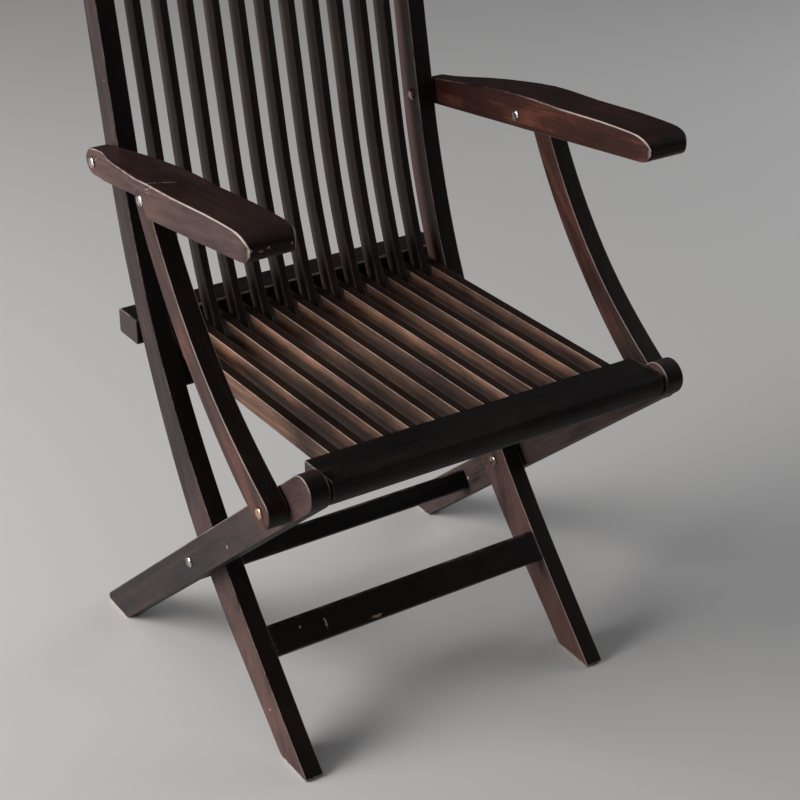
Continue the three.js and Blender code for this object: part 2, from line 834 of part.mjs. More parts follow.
function makeArmSupports() {
  const steps = 14;
  const shares = Array.from({ length: steps + 1 }, (_, i) => i / steps);
  const inside = shares.map((share) => supportPoint(share, -supportHalf(share)));
  const outside = shares.map((share) => supportPoint(share, supportHalf(share)));
  const topEnd = arcPoints(supportTopPivot, supportWidth / 2, supportTopDeg, supportTopDeg + 180, 10);
  const footEnd = arcPoints(
    supportFootPivot,
    supportFootWidth / 2,
    supportFootDeg + 180,
    supportFootDeg + 360,
    10,
  );
  const outline = [
    ...topEnd,
    ...inside.slice(1, -1),
    ...footEnd,
    ...outside.slice(1, -1).reverse(),
  ];
  const slat = board(outline, supportInner, supportOuter, arris);
  const cuts = [supportTopPivot, supportFootPivot].map((pivot) =>
    boreCut(pivot, shankRadius + clearance, supportInner - overrun, supportOuter + overrun));
  addPair('arm_support', shaped(slat, [], cuts), teak);
}

// A domed bolt head outside a face with its shank running inwards to a given place
function boltProfile(face, shankEnd) {
  const under = face + clearance;
  const points = [[0, shankEnd], [shankRadius, shankEnd], [shankRadius, under], [domeRadius, under]];
  for (const deg of [30, 62, 90]) {
    const spoke = direction(deg);
    points.push([spoke.y === 1 ? 0 : domeRadius * spoke.x, under + domeHeight * spoke.y]);
  }
  return points;
}

// A domed nut on an inner face, over the end of the shank
function nutProfile(face) {
  const seat = face - clearance;
  const points = [[0, seat - domeHeight]];
  for (const deg of [62, 30, 0]) {
    const spoke = direction(deg);
    points.push([domeRadius * spoke.x, seat - domeHeight * spoke.y]);
  }
  points.push([shankRadius + clearance, seat]);
  points.push([shankRadius + clearance, seat - nutGrip - clearance]);
  points.push([0, seat - nutGrip - clearance]);
  return points;
}

function ringProfile(fromX, toX) {
  const bore = shankRadius + clearance;
  const low = fromX + clearance;
  const high = toX - clearance;
  return [[bore, low], [spacerRadius, low], [spacerRadius, high], [bore, high], [bore, low]];
}

function makeHardware() {
  const armFace = armInner + armPlanShares[1][1] * armWidth;
  const inUpright = backHalfClear - clearance - nutGrip;
  const inArm = armInner - clearance - nutGrip;
  const bolts = [
    ['leg_pivot', mainPivot, legOuter, inUpright, steel],
    ['arm_pivot', armPivot, armFace, inUpright, steel],
    ['support_top', supportTopPivot, supportOuter, inArm, steel],
    ['support_foot', supportFootPivot, supportOuter, supportInner, copper],
  ];
  for (const [name, pivot, face, end, finish] of bolts) {
    addPair(`${name}_bolt`, turned(boltProfile(face, end), pivot), finish);
  }
  const nuts = [
    ['leg_pivot', mainPivot, backHalfClear],
    ['arm_pivot', armPivot, backHalfClear],
    ['support_top', supportTopPivot, armInner],
  ];
  for (const [name, pivot, face] of nuts) {
    addPair(`${name}_nut`, turned(nutProfile(face), pivot), steel);
  }
  const spacers = [
    ['leg_pivot', mainPivot, uprightOuter, legInner],
    ['arm_pivot', armPivot, uprightOuter, armInner],
    ['support_top', supportTopPivot, rabbetFloor, supportInner],
  ];
  for (const [name, pivot, from, to] of spacers) {
    addPair(`${name}_spacer`, turned(ringProfile(from, to), pivot), steel);
  }
  const railEnd = legInner - seatEndGap;
  const from = railEnd - dowelInRail + clearance;
  const to = legInner + dowelInLeg;
  const dowel = [[0, from], [dowelRadius, from], [dowelRadius, to], [0, to]];
  addPair('seat_pivot_dowel', turned(dowel, seatPivot), teak);
}

makeUprights();
makeLowerRail();
makeTopRail();
makeFrontStretcher();
makeBackSlats();
makeRearLegs();
makeRearStretcher();
makeSeatMembers();
makeFrontRail();
makeCrossbar();
makeArmrests();
makeArmSupports();
makeHardware();

// The origin goes on the floor under the middle of the whole chair
const bounds = new THREE.Box3().setFromObject(chair, true);
const middle = bounds.getCenter(new THREE.Vector3());
for (const mesh of chair.children) {
  mesh.position.set(0, -middle.y, -bounds.min.z);
}

export default chair;
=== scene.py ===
import json
import math

import bpy
from mathutils import Matrix, Vector


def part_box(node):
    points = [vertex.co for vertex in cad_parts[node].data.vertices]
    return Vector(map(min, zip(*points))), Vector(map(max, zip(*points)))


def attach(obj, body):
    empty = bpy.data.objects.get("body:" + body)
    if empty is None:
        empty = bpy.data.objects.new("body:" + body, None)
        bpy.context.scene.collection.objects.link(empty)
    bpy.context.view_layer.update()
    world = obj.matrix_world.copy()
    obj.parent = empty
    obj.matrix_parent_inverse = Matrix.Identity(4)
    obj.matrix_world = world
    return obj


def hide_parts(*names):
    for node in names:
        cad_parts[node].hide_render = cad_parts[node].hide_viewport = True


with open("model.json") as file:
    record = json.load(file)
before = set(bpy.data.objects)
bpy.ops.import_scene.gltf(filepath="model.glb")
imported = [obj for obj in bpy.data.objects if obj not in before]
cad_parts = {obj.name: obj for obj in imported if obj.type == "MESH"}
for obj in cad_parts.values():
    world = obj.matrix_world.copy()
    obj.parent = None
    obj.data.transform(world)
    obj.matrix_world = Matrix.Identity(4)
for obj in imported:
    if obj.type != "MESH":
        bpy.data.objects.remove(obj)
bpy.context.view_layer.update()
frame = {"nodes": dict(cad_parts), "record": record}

# Camera
# Stands in front of the chair, to its left, half a metre above the back, and looks down on it.
# Its place and lens were worked out from the chair's own edges.
bearing = math.radians(-33.98)
stoop = math.radians(29.41)
tilt = math.radians(1.22)
standpoint = Vector((-1.0748, -1.6659, 1.4385))
ahead = Vector(
    (-math.sin(bearing) * math.cos(stoop), math.cos(bearing) * math.cos(stoop), -math.sin(stoop))
)
level = ahead.cross(Vector((0, 0, 1))).normalized()
upward = level.cross(ahead)
right_way = level * math.cos(tilt) + upward * math.sin(tilt)
up_way = upward * math.cos(tilt) - level * math.sin(tilt)
turned = Matrix((right_way, up_way, -ahead)).transposed().to_4x4()
camera = bpy.data.objects.new("camera", bpy.data.cameras.new("camera"))
bpy.context.scene.collection.objects.link(camera)
camera.matrix_world = Matrix.Translation(standpoint) @ turned
camera.data.sensor_width = 36
camera.data.lens = 86.34
camera.data.shift_x = 0.0031
camera.data.shift_y = 0.009
bpy.context.scene.camera = camera


# Front uprights
# Two long teak boards sawn to one bend: front legs below, the back's stiles above.
# Their edges are eased. The dark stain has rubbed thin along these, and faded near the floor.
class Tone:
    """A value on its way through a finish. Sums with it add the nodes they need."""

    def __init__(self, finish, socket):
        self.finish = finish
        self.socket = socket

    def maths(self, operation, *others):
        values = dict(enumerate((self, *others)))
        return self.finish.node("ShaderNodeMath", {"operation": operation}, values)

    def __add__(self, other):
        return self.maths("ADD", other)

    def __sub__(self, other):
        return self.maths("SUBTRACT", other)

    def __rsub__(self, other):
        return self * -1 + other

    def __mul__(self, other):
        return self.maths("MULTIPLY", other)

    __radd__ = __add__
    __rmul__ = __mul__

    def ease(self, low, high):
        """0 up to low, 1 from high on, and a soft step between"""
        settings = {"interpolation_type": "SMOOTHSTEP"}
        return self.finish.node("ShaderNodeMapRange", settings, {0: self, 1: low, 2: high})


class Finish:
    """A finish, built up one node at a time."""

    def __init__(self, name):
        self.material = bpy.data.materials.new(name)
        self.material.use_nodes = True
        self.tree = self.material.node_tree
        self.shader = self.tree.nodes["Principled BSDF"]

    def node(self, kind, settings=None, values=None, out=0):
        """A node with its settings, and values or tones on its sockets, as the tone of one output"""
        node = self.tree.nodes.new(kind)
        for name, value in (settings or {}).items():
            if name == "stops":
                ramp = node.color_ramp
                while len(ramp.elements) < len(value):
                    ramp.elements.new(1)
                for element, (place, colour) in zip(ramp.elements, value):
                    element.position = place
                    element.color = (*colour, 1)
            else:
                setattr(node, name, value)
        for name, value in (values or {}).items():
            self.feed(node.inputs[name], value)
        return Tone(self, node.outputs[out])

    def feed(self, socket, value):
        """A tone is linked to the socket, and a colour or number is set on it"""
        if isinstance(value, Tone):
            self.tree.links.new(value.socket, socket)
        elif socket.type == "RGBA":
            socket.default_value = (*value, 1)
        else:
            socket.default_value = value

    def mix(self, share, plain, laid_over):
        """One colour laid over another"""
        colours = {0: share, 6: plain, 7: laid_over}
        return self.node("ShaderNodeMix", {"data_type": "RGBA"}, colours, 2)

    def noise(self, place, scale, detail=2, roughness=0.5, distortion=0):
        values = {"Vector": place, "Scale": scale, "Detail": detail}
        values.update({"Roughness": roughness, "Distortion": distortion})
        return self.node("ShaderNodeTexNoise", {}, values)

    def vectors(self, operation, *vectors, out="Value"):
        """Vector maths on places or directions"""
        values = dict(enumerate(vectors))
        return self.node("ShaderNodeVectorMath", {"operation": operation}, values, out)

    def part(self, vector, axis):
        """How much of a place or direction lies along X, Y or Z"""
        return self.node("ShaderNodeSeparateXYZ", {}, {0: vector}, axis)

    def bump(self, relief, strength, depth):
        values = {"Strength": strength, "Distance": depth, "Height": relief}
        return self.node("ShaderNodeBump", {}, values)

    def wear(self, **sockets):
        """The finished material, with these on the shader"""
        for name, value in sockets.items():
            self.feed(self.shader.inputs[name.replace("_", " ").title().replace("Ior", "IOR")], value)
        return self.material


# Wood that shows where the stain has gone
rubbed_wood = (0.46, 0.36, 0.31)
scuffed_wood = (0.5, 0.45, 0.39)
chipped_wood = (0.42, 0.33, 0.25)
scratched_wood = (0.4, 0.34, 0.3)
faded_stain = (0.15, 0.078, 0.068)

# A foot is scuffed from the first height down, and fully below the second
scuffed_from, scuffed_below = 0.0042, 0.0022

# The grain's stretch along the board, its scales, and how far apart two boards are cut from it
long_stretch, short_stretch = 0.045, 0.35
ring_scale, ring_count, ring_wander = 24, 46, 0.9
fibre_scale, pore_scale, cloud_scale = 430, 1500, 26
break_scale, ragged_scale = 120, 520
board_step = (1.37, 0.71, 2.13)


def toned(colour, amount):
    return tuple(part * amount for part in colour)


def stained_teak(
    name, slope, deep, body, warm, seed, rub=0.5, sheen=0.42, painted_shade=0.5, worn_from=(0, 0, 1),
    crosswise=False, faded=None, chips=(), scratches=(), handled=None, worn_band=(0.5, 0.95),
    rubbed=rubbed_wood
):
    """Dark stain over teak.

    slope: the grain's angle from level, in degrees, on a board that runs fore and aft
    deep, body, warm: the stain where it is darkest, over most of the board and where it is thin
    seed: which part of the grain's pattern the board is cut from
    rub: how far the arrises on the worn_from side have lost it, down to the colour rubbed
    sheen: the roughness that fibre and clouds then vary
    worn_band: where on the rounding the worn line starts, and where it is full
    painted_shade: how far painted shade darkens the board off its flanks, or on its top if it runs
    crosswise
    crosswise: whether the board runs from side to side
    faded: the heights where it starts to fade and is most faded, and how much
    chips: places and reaches of bare spots
    scratches: the two ends of each thin line
    handled: the places along Y where hands rub most and where that ends, and how much
    """
    finish = Finish(name)
    spot = finish.node("ShaderNodeTexCoord", out="Object")
    facing = finish.node("ShaderNodeTexCoord", out="Normal")
    lean = math.radians(slope)
    turn = {"Rotation": (-lean, 0, 0), "Location": tuple(seed * step for step in board_step)}
    place = finish.node("ShaderNodeMapping", {}, {"Vector": spot, **turn})
    long_grain, short_grain = (
        finish.vectors("MULTIPLY", place, (stretch, 1, 1) if crosswise else (1, stretch, 1), out="Vector")
        for stretch in (long_stretch, short_stretch)
    )
    rings = (finish.noise(long_grain, ring_scale, distortion=ring_wander) * ring_count).maths("SINE")
    rings = rings * 0.5 + 0.5
    fibre = finish.noise(long_grain, fibre_scale, detail=4, roughness=0.65)
    pores = finish.noise(long_grain, pore_scale, detail=1).ease(0.58, 0.7)
    cloud = finish.noise(short_grain, cloud_scale, detail=4, roughness=0.62)
    breaks = finish.noise(short_grain, break_scale, detail=3, roughness=0.7)
    ragged = finish.noise(short_grain, ragged_scale, roughness=0.7)

    tone = cloud * 1.15 + fibre * 0.4 + rings * 0.16 - 0.37
    stops = [(0.15, deep), (0.5, body), (0.82, warm)]
    stain = finish.node("ShaderNodeValToRGB", {"stops": stops}, {0: tone})
    if faded:
        starts, most, amount = faded
        height = finish.part(spot, "Z")
        fading = height.ease(starts, most) * amount
        stain = finish.mix(fading * cloud.ease(0.2, 0.6), stain, faded_stain)
    stain = finish.mix(pores * 0.4, stain, toned(deep, 0.4))

    flank = finish.part(facing, "X").maths("ABSOLUTE")
    # Painted shade: faces off the flanks, or the top of a rail that runs crosswise, are darkened towards
    # the deep stain for the shade of faces turned from the side light
    shaded = finish.part(facing, "Z").ease(0.45, 0.95) if crosswise else 1 - flank.ease(0.3, 0.8)
    stain = finish.mix(shaded * painted_shade, stain, toned(deep, 0.6))
    along = (1, 0, 0) if crosswise else (0, math.cos(lean), math.sin(lean))
    end_grain = finish.vectors("DOT_PRODUCT", facing, along).maths("ABSOLUTE").ease(0.7, 0.95)
    stain = finish.mix(end_grain * 0.8, stain, toned(body, 3.2) if crosswise else toned(deep, 0.4))

    if crosswise:
        arris = finish.node("ShaderNodeAttribute", {"attribute_name": "arris"}, {}, "Fac")
    else:
        rounding = (flank * (1 - flank * flank).maths("SQRT") * 2).ease(*worn_band)
        met = finish.vectors("DOT_PRODUCT", facing, worn_from)
        arris = rounding * (met.ease(0.2, 0.55) * 0.85 + 0.15)
    rubbing = breaks + cloud * 0.6 + rub
    if faded:
        rubbing = rubbing + fading * 0.35
    if handled:
        most, ends, amount = handled
        rubbing = rubbing + (1 - finish.part(spot, "Y").ease(most, ends)) * amount
    stain = finish.mix(arris * rubbing.ease(0.75, 1.6) * 0.85, stain, rubbed)
    if faded:
        scuffed = (1 - height.ease(scuffed_below, scuffed_from)) * breaks.ease(0.3, 0.5)
        stain = finish.mix(scuffed * 0.8, stain, scuffed_wood)
    for middle, reach in chips:
        stain = finish.mix(chip(finish, spot, ragged, middle, reach) * 0.8, stain, chipped_wood)
    for start, end in scratches:
        line = scratch(finish, spot, ragged, Vector(start), Vector(end))
        stain = finish.mix(line * 0.7, stain, scratched_wood)

    relief = fibre * 0.6 + rings * 0.25 - pores * 0.7
    return finish.wear(
        base_color=stain,
        roughness=sheen + fibre * 0.16 + (cloud - 0.5) * 0.25,
        specular_ior_level=0.18,
        normal=finish.bump(relief, strength=0.35, depth=0.0004),
    )


def chip(finish, spot, ragged, middle, reach):
    """1 in the middle of a small bare spot, 0 past its reach, and ragged between"""
    away = finish.vectors("SUBTRACT", spot, middle, out="Vector")
    away = finish.vectors("LENGTH", finish.vectors("DIVIDE", away, reach, out="Vector"))
    return (1.1 - away + (ragged - 0.5) * 2).ease(0.45, 0.7)


def scratch(finish, spot, ragged, start, end, core=0.0003, edge=0.0008):
    """1 on a thin broken line between two places, and 0 beside it and past its ends"""
    middle = (start + end) / 2
    length = (end - start).length
    across = (end - start).cross(Vector((0, 0, 1))).normalized()
    aside = (finish.vectors("DOT_PRODUCT", spot, across) - across.dot(middle)).maths("ABSOLUTE")
    beyond = finish.vectors("DISTANCE", spot, middle).ease(length * 0.45, length * 0.52)
    return (1 - aside.ease(core, edge)) * (1 - beyond) * ragged.ease(0.3, 0.5)


same_corner = 2e-5
same_plane = math.radians(0.4)
rounded_within = math.radians(52)


def lifted(node, body, finish):
    """A board lifted off the frame, its triangles joined up and its faces smoothed"""
    sawn = frame["nodes"][node]
    piece = sawn.copy()
    piece.data = sawn.data.copy()
    piece.name = node + "_board"
    for key in list(piece.keys()):
        del piece[key]
    piece.parent = None
    bpy.context.scene.collection.objects.link(piece)
    bpy.ops.object.select_all(action="DESELECT")
    piece.select_set(True)
    bpy.context.view_layer.objects.active = piece
    bpy.ops.object.mode_set(mode="EDIT")
    bpy.ops.mesh.select_all(action="SELECT")
    bpy.ops.mesh.customdata_custom_splitnormals_clear()
    bpy.ops.mesh.remove_doubles(threshold=same_corner)
    bpy.ops.mesh.dissolve_limited(angle_limit=same_plane)
    bpy.ops.object.mode_set(mode="OBJECT")
    bpy.ops.object.shade_smooth_by_angle(angle=rounded_within)
    weighted = piece.modifiers.new("flat faces", "WEIGHTED_NORMAL")
    weighted.keep_sharp = True
    bpy.ops.object.modifier_apply(modifier=weighted.name)
    piece.data.materials.clear()
    piece.data.materials.append(finish)
    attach(piece, body)
    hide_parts(node)
    return piece


nicks = (
    ((-0.214, -0.14, 0.052), (0.003, 0.003, 0.003)),
    ((-0.214, 0.21, 0.7), (0.003, 0.002, 0.002)),
)
upright_stains = (("left", (0.034, 0.023, 0.022), 0.12), ("right", (0.075, 0.04, 0.034), 0.4))
for seed, (side, body, rub) in enumerate(upright_stains):
    finish = stained_teak(
        f"upright_teak_{side}",
        slope=68,
        deep=(0.012, 0.008, 0.0075),
        body=body,
        warm=(0.095, 0.045, 0.037),
        seed=3 + seed,
        rub=rub,
        # strength of the painted shade off the flanks
        painted_shade=0.9,
        worn_from=(0, -1, 0),
        faded=(0.32, 0.03, 0.68),
        chips=nicks,
    )
    lifted(f"upright_{side}", "back_frame", finish)


# Back rails and front stretcher
# Straight teak rails tenoned between the uprights: one at the top, one under the seat slats and
# one near the floor, which is scuffed where shoes meet it.
def mark_arrises(rail, eased_width=0.0021, facing_up=0.6, least_wear=0.12):
    """The narrow faces of a rail's eased edges are marked for its finish, the top ones most"""
    marks = rail.data.attributes.new("arris", "FLOAT", "FACE")
    for face in rail.data.polygons:
        corners = [rail.data.vertices[v].co for v in face.vertices]
        around = sum((a - b).length for a, b in zip(corners, corners[1:] + corners[:1]))
        if 2 * face.area < eased_width * around:
            marks.data[face.index].value = 1 if face.normal.z > facing_up else least_wear


scuffs = (
    ((-0.119, -0.108, 0.119), (0.0025, 0.01, 0.009)),
    ((-0.054, -0.117, 0.109), (0.013, 0.004, 0.0025)),
    ((-0.152, -0.104, 0.1226), (0.002, 0.006, 0.002)),
)
back_rails = (
    ("top_back_rail", "teak", 1, 0.2, ()),
    ("lower_back_rail", "teak_dark", 0.6, -0.3, ()),
    ("front_stretcher", "teak", 0.5, 0.05, scuffs),
)
for seed, (rail, slot, warmth, rub, chips) in enumerate(back_rails):
    # Each rail's top is darkened by the finish's default painted shade
    finish = stained_teak(
        f"{rail}_teak",
        slope=0,
        deep=(0.008, 0.006, 0.0055),
        body=toned((0.022, 0.015, 0.013), warmth),
        warm=toned((0.06, 0.034, 0.026), warmth),
        seed=11 + seed,
        rub=rub,
        crosswise=True,
        chips=chips,
    )
    mark_arrises(lifted(rail, "back_frame", finish))


# Back slats
# Eleven slender curved teak slats, tenoned into both back rails.
# Each is its own stick of wood, so no two that stand side by side match.
def own_warmth(number, step, kinds, least, spread):
    """How warm one slat's wood is, in a few kinds that follow each other out of order"""
    return least + spread * (number * step % kinds) / (kinds - 1)


for number in range(1, 12):
    warmth = own_warmth(number, step=7, kinds=5, least=0.85, spread=0.3)
    finish = stained_teak(
        f"back_slat_teak_{number:02d}",
        slope=75,
        deep=(0.018, 0.011, 0.009),
        body=toned((0.05, 0.033, 0.026), warmth),
        warm=toned((0.1, 0.058, 0.041), warmth),
        seed=20 + number,
        rub=0.12,
        # strength of the painted shade off the flanks
        painted_shade=0.7,
    )
    lifted(f"back_slat_{number:02d}", "back_frame", finish)

# Rear legs and rear stretcher
# Two straight teak legs with a round nose at the front, joined by one rail near the floor.
# Their stain has faded towards the noses, and their feet are scuffed.
leg_nicks = (
    ((-0.243, -0.102, 0.264), (0.003, 0.003, 0.003)),
    ((0.219, 0.0827, 0.108), (0.003, 0.003, 0.005)),
)
leg_stains = (("left", (0.026, 0.021, 0.021)), ("right", (0.064, 0.043, 0.039)))
for seed, (side, body) in enumerate(leg_stains):
    finish = stained_teak(
        f"rear_leg_teak_{side}",
        slope=-42,
        deep=(0.01, 0.0085, 0.0085),
        body=body,
        warm=(0.056, 0.034, 0.031),
        seed=40 + seed,
        rub=0.45,
        faded=(0.2, 0.42, 0.32),
        chips=leg_nicks,
    )
    lifted(f"rear_leg_{side}", "rear_frame", finish)
# Its top is darkened by the finish's default painted shade
finish = stained_teak(
    "rear_stretcher_teak",
    slope=0,
    deep=(0.0045, 0.004, 0.004),
    body=(0.009, 0.0075, 0.007),
    warm=(0.022, 0.015, 0.012),
    seed=43,
    rub=0.1,
    crosswise=True,
)
mark_arrises(lifted("rear_stretcher", "rear_frame", finish))

# Seat
# A half-round front rail and a crossbar behind the uprights, with two side members and ten slats
# tenoned into both. The slats are darkened off their flanks with painted shade, so the flanks show
# lighter.
seat_rails = (("seat_front_rail", "teak"), ("seat_rear_crossbar", "teak_dark"))
for seed, (rail, slot) in enumerate(seat_rails):
    # Each rail's top is darkened by the finish's default painted shade
    finish = stained_teak(
        f"{rail}_teak",
        slope=0,
        deep=(0.006, 0.005, 0.005),
        body=(0.015, 0.011, 0.0105),
        warm=(0.045, 0.029, 0.023),
        seed=50 + seed,
        rub=0.35,
        crosswise=True,
    )
    mark_arrises(lifted(rail, "seat", finish))
sides = ("left", "right")
members = [f"seat_side_rail_{side}" for side in sides] + [f"seat_slat_{i:02d}" for i in range(1, 11)]
for number, member in enumerate(members):
    warmth = own_warmth(number, step=5, kinds=7, least=0.8, spread=0.45)
    finish = stained_teak(
        f"{member}_teak",
        slope=-2,
        deep=(0.03, 0.016, 0.011),
        body=toned((0.14, 0.076, 0.053), warmth),
        warm=toned((0.34, 0.17, 0.1), warmth),
        seed=60 + number,
        rub=0.5,
        # strength of the painted shade off the flanks
        painted_shade=0.96,
    )
    lifted(member, "seat", finish)
for side in sides:
    dowel = frame["nodes"][f"seat_pivot_dowel_{side}"]
    dowel.data.materials.clear()
    dowel.data.materials.append(bpy.data.materials["seat_front_rail_teak"])

# Armrests
# Two shaped teak boards with a rounded nose, bolted to the uprights: redder than the rest, and
# smoother from hands. The noses are knocked, and one board is scored across its top.
knocks = (
    ((-0.225, -0.2175, 0.6728), (0.0028, 0.003, 0.003)),
    ((-0.2505, -0.2185, 0.6735), (0.003, 0.003, 0.0022)),
    ((-0.259, -0.2185, 0.6715), (0.0045, 0.003, 0.0018)),
    ((-0.2705, -0.2175, 0.6735), (0.0035, 0.004, 0.0035)),
    ((-0.275, -0.0117, 0.6634), (0.002, 0.0022, 0.0016)),
    ((-0.275, -0.0147, 0.6602), (0.002, 0.0015, 0.0018)),
    ((-0.275, -0.0071, 0.6615), (0.002, 0.0018, 0.001)),
    ((-0.275, -0.0098, 0.6585), (0.002, 0.0012, 0.0012)),
    ((-0.2745, -0.0189, 0.6665), (0.002, 0.002, 0.0015)),
    ((0.2355, -0.2155, 0.682), (0.0015, 0.002, 0.0015)),
)
scored = (((-0.2736, -0.0071, 0.667), (-0.2463, -0.0233, 0.6692)),)
armrest_stains = (
    ("left", (0.064, 0.033, 0.03), (0.115, 0.056, 0.047), 0.4, 0.35),
    ("right", (0.045, 0.014, 0.01), (0.14, 0.046, 0.032), 0.12, 0.75),
)
for seed, (side, body, warm, rub, handling) in enumerate(armrest_stains):
    finish = stained_teak(
        f"armrest_teak_{side}",
        slope=-8.5,
        deep=(0.022, 0.009, 0.0065),
        body=body,
        warm=warm,
        seed=80 + seed,
        rub=rub,
        sheen=0.34,
        # strength of the painted shade off the flanks
        painted_shade=0.6,
        worn_from=(0, -0.6, 0.8),
        chips=knocks,
        scratches=scored,
        handled=(-0.2, 0.04, handling),
        worn_band=(0.8, 0.99),
        rubbed=(0.62, 0.52, 0.47),
    )
    lifted(f"armrest_{side}", f"armrest_{side}", finish)

# Arm supports
# Curved teak slats from the armrests down to the rear legs, with a bolt at each end.
# Their upper arrises are worn pale.
support_stains = (("left", (0.05, 0.025, 0.021)), ("right", (0.055, 0.022, 0.017)))
for seed, (side, body) in enumerate(support_stains):
    finish = stained_teak(
        f"arm_support_teak_{side}",
        slope=46.7,
        deep=(0.015, 0.008, 0.0065),
        body=body,
        warm=(0.14, 0.05, 0.036),
        seed=90 + seed,
        rub=0.55,
        # strength of the painted shade off the flanks
        painted_shade=0.84,
    )
    lifted(f"arm_support_{side}", f"arm_support_{side}", finish)


# Bolts, nuts and washers
# Domed bolts of zinc-plated steel with a driver's slot, each run through two boards and the washer
# between them to a domed nut, and plain coppery ones that hold the supports' feet.
tarnish_scale, scratch_scale = 420, 2600


def plated(name, bright, dull, seed):
    finish = Finish(name)
    spot = finish.node("ShaderNodeTexCoord", out="Object")
    place = finish.node("ShaderNodeMapping", {}, {"Vector": spot, "Location": (seed, seed, seed)})
    drawn_out = finish.vectors("MULTIPLY", place, (1, 1, 0.1), out="Vector")
    tarnish = finish.noise(place, tarnish_scale, detail=4, roughness=0.6)
    scratches = finish.noise(drawn_out, scratch_scale)
    return finish.wear(
        metallic=1.0,
        base_color=finish.mix(tarnish.ease(0.42, 0.66), bright, dull),
        roughness=0.1 + tarnish * 0.25 + scratches * 0.05,
        normal=finish.bump(scratches, strength=0.25, depth=0.0001),
    )


steel = plated("zinc_plate", bright=(0.66, 0.65, 0.62), dull=(0.3, 0.28, 0.25), seed=1)
copper = plated("copper_plate", bright=(0.62, 0.4, 0.27), dull=(0.28, 0.15, 0.09), seed=2)
browned = plated("browned_plate", bright=(0.36, 0.27, 0.24), dull=(0.13, 0.07, 0.06), seed=3)

head_sides = 40
head_radius = 0.0066
head_rise = 0.0026
rim_share = 0.3
dome_turns = (22, 40, 58, 74)
shank_radius = 0.0036
shank_length = 0.01
bore_radius = 0.0039
bore_depth = 0.0016
slot_width, slot_depth, slot_length = 0.0018, 0.0016, 0.02
washer_sides = 48
rolled_edge = 0.0005
turned_smooth = math.radians(35)


def domed_head(name):
    """A round head on its back at the origin, domed along X"""
    bpy.ops.object.select_all(action="DESELECT")
    rim = head_rise * rim_share
    bpy.ops.mesh.primitive_cylinder_add(
        vertices=head_sides,
        radius=head_radius,
        depth=rim,
        location=(rim / 2, 0, 0),
        rotation=(0, math.pi / 2, 0),
    )
    head = bpy.context.object
    head.name = name
    bpy.ops.object.transform_apply(location=True, rotation=True, scale=True)
    pick_faces(head, 1)
    width, height = head_radius, rim
    for turn in dome_turns:
        next_width = head_radius * math.cos(math.radians(turn))
        next_height = rim + (head_rise - rim) * math.sin(math.radians(turn))
        bpy.ops.mesh.extrude_region_move(TRANSFORM_OT_translate={"value": (next_height - height, 0, 0)})
        share = next_width / width
        bpy.ops.transform.resize(value=(1, share, share), center_override=(next_height, 0, 0))
        width, height = next_width, next_height
    bpy.ops.object.mode_set(mode="OBJECT")
    return head


def pick_faces(piece, way, squarely=0.99, close=1e-5):
    """Edit mode, with the flat faces at one end of a turned piece selected"""
    bpy.ops.object.mode_set(mode="EDIT")
    bpy.ops.mesh.select_all(action="DESELECT")
    bpy.ops.object.mode_set(mode="OBJECT")
    end = max(way * corner.co.x for corner in piece.data.vertices)
    for face in piece.data.polygons:
        face.select = way * face.normal.x > squarely and way * face.center.x > end - close
    bpy.ops.object.mode_set(mode="EDIT")


def draw_back(head, radius, length):
    """A round of this radius on a head's flat back, drawn along X: a shank below zero, a bore above"""
    pick_faces(head, -1)
    bpy.ops.mesh.inset(thickness=head_radius - radius)
    bpy.ops.mesh.extrude_region_move(TRANSFORM_OT_translate={"value": (length, 0, 0)})
    bpy.ops.object.mode_set(mode="OBJECT")


def cut_slot(head):
    """A screwdriver slot, sawn across the top"""
    bpy.ops.object.select_all(action="DESELECT")
    bpy.ops.mesh.primitive_cube_add(size=1, location=(head_rise, 0, 0))
    saw = bpy.context.object
    saw.scale = (slot_depth * 2, slot_width, slot_length)
    bpy.ops.object.transform_apply(location=True, rotation=True, scale=True)
    cut = head.modifiers.new("slot", "BOOLEAN")
    cut.object = saw
    head.select_set(True)
    bpy.context.view_layer.objects.active = head
    bpy.ops.object.modifier_apply(modifier=cut.name)
    bpy.data.objects.remove(saw)


bolt = domed_head("bolt")
draw_back(bolt, shank_radius, -shank_length)
rivet = bolt.copy()
rivet.data = bolt.data.copy()
bpy.context.scene.collection.objects.link(rivet)
cut_slot(bolt)
nut = domed_head("nut")
draw_back(nut, bore_radius, bore_depth)


def screwed_in(pattern, node, outward, spin, finish):
    """A copy of a bolt or nut, turned to its own angle and driven in where the frame has it.

    outward: 1 where its head is on the chair's outer side, and -1 where it is on the inner side
    """
    low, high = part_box(node)
    side = 1 if node.endswith("right") else -1
    piece = pattern.copy()
    piece.data = pattern.data.copy()
    piece.name = node + "_turned"
    bpy.context.scene.collection.objects.link(piece)
    for corner in piece.data.vertices:
        if corner.co.x < -shank_length / 2:
            corner.co.x = low.x - high.x + head_rise
    face = high.x - head_rise if side * outward > 0 else low.x + head_rise
    bpy.ops.object.select_all(action="DESELECT")
    piece.select_set(True)
    bpy.context.view_layer.objects.active = piece
    piece.location = (face, (low.y + high.y) / 2, (low.z + high.z) / 2)
    piece.rotation_euler = (spin, 0, 0 if side * outward > 0 else math.pi)
    bpy.ops.object.transform_apply(location=True, rotation=True, scale=True)
    bpy.ops.object.shade_smooth_by_angle(angle=turned_smooth)
    fitted(piece, node, finish)


def fitted(piece, node, finish):
    """The piece takes the node's place, on the same body"""
    piece.data.materials.clear()
    piece.data.materials.append(finish)
    bodies = frame["record"]["behaviour"]["bodies"]
    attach(piece, next(body for body, nodes in bodies.items() if node in nodes))
    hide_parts(node)


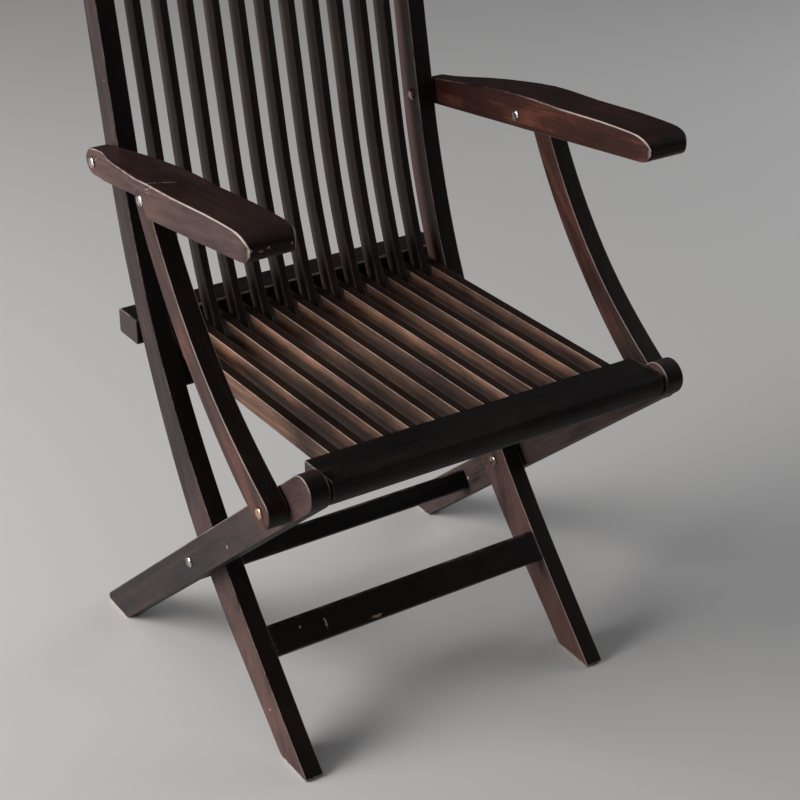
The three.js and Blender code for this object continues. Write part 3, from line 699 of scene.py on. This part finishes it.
def washer_between(node):
    """A punched disc with a rolled rim, as thick as the space that it fills"""
    low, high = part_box(node)
    bpy.ops.object.select_all(action="DESELECT")
    bpy.ops.mesh.primitive_cylinder_add(
        vertices=washer_sides,
        radius=(high.y - low.y) / 2,
        depth=high.x - low.x,
        location=(low + high) / 2,
        rotation=(0, math.pi / 2, 0),
    )
    washer = bpy.context.object
    washer.name = node + "_punched"
    bpy.ops.object.transform_apply(location=True, rotation=True, scale=True)
    rim = washer.modifiers.new("rim", "BEVEL")
    rim.width = rolled_edge
    rim.segments = 3
    rim.limit_method = "ANGLE"
    bpy.ops.object.modifier_apply(modifier=rim.name)
    bpy.ops.object.shade_smooth_by_angle(angle=turned_smooth)
    fitted(washer, node, steel)


for turn, side in enumerate(sides):
    screwed_in(bolt, f"leg_pivot_bolt_{side}", outward=1, spin=0.6 + turn, finish=steel)
    screwed_in(bolt, f"arm_pivot_bolt_{side}", outward=1, spin=0.9 + turn, finish=steel)
    screwed_in(bolt, f"support_top_bolt_{side}", outward=1, spin=0.75 - turn, finish=steel)
    screwed_in(rivet, f"support_foot_bolt_{side}", outward=1, spin=0.2, finish=copper)
    for joint, coat in (("leg_pivot", browned), ("arm_pivot", browned), ("support_top", steel)):
        screwed_in(nut, f"{joint}_nut_{side}", outward=-1, spin=0.3 * turn, finish=coat)
        washer_between(f"{joint}_spacer_{side}")
for pattern in (bolt, rivet, nut):
    bpy.data.objects.remove(pattern)

# Floor and studio light
# A plain pale floor, one broad soft light low on the left, as from a window, and two weaker ones:
# overhead, and from the right to fill the shadows.
bpy.ops.object.select_all(action="DESELECT")
bpy.ops.mesh.primitive_plane_add(size=24, location=(0, 0, 0))
floor = bpy.context.object
floor.name = "floor"
floor.data.materials.append(Finish("pale_floor").wear(base_color=(0.7, 0.69, 0.68), roughness=0.8))


def soft_light(name, place, aim, size, power, colour):
    lamp = bpy.data.objects.new(name, bpy.data.lights.new(name, "AREA"))
    bpy.context.scene.collection.objects.link(lamp)
    lamp.data.shape = "RECTANGLE"
    lamp.data.size, lamp.data.size_y = size
    lamp.data.energy = power
    lamp.data.color = colour
    lamp.location = place
    lamp.rotation_euler = (Vector(aim) - Vector(place)).to_track_quat("-Z", "Y").to_euler()


soft_light(
    "window",
    place=(-3.3, 1.05, 1.55),
    aim=(0, 0, 0.45),
    size=(2.4, 1.8),
    power=165,
    colour=(1, 0.98, 0.96),
)
soft_light(
    "overhead",
    place=(-1.2, 0.6, 3.2),
    aim=(0, 0, 0.2),
    size=(2.4, 2.4),
    power=13,
    colour=(1, 0.99, 0.98),
)
soft_light(
    "fill",
    place=(3.2, 0.1, 1.4),
    aim=(0, 0, 0.45),
    size=(2.4, 2),
    power=28,
    colour=(0.95, 0.97, 1),
)
sky = bpy.data.worlds.new("studio")
bpy.context.scene.world = sky
sky.use_nodes = True
dome = sky.node_tree.nodes["Background"]
dome.inputs["Color"].default_value = (0.9, 0.93, 1, 1)
dome.inputs["Strength"].default_value = 0.06
bpy.context.scene.view_settings.view_transform = "Standard"
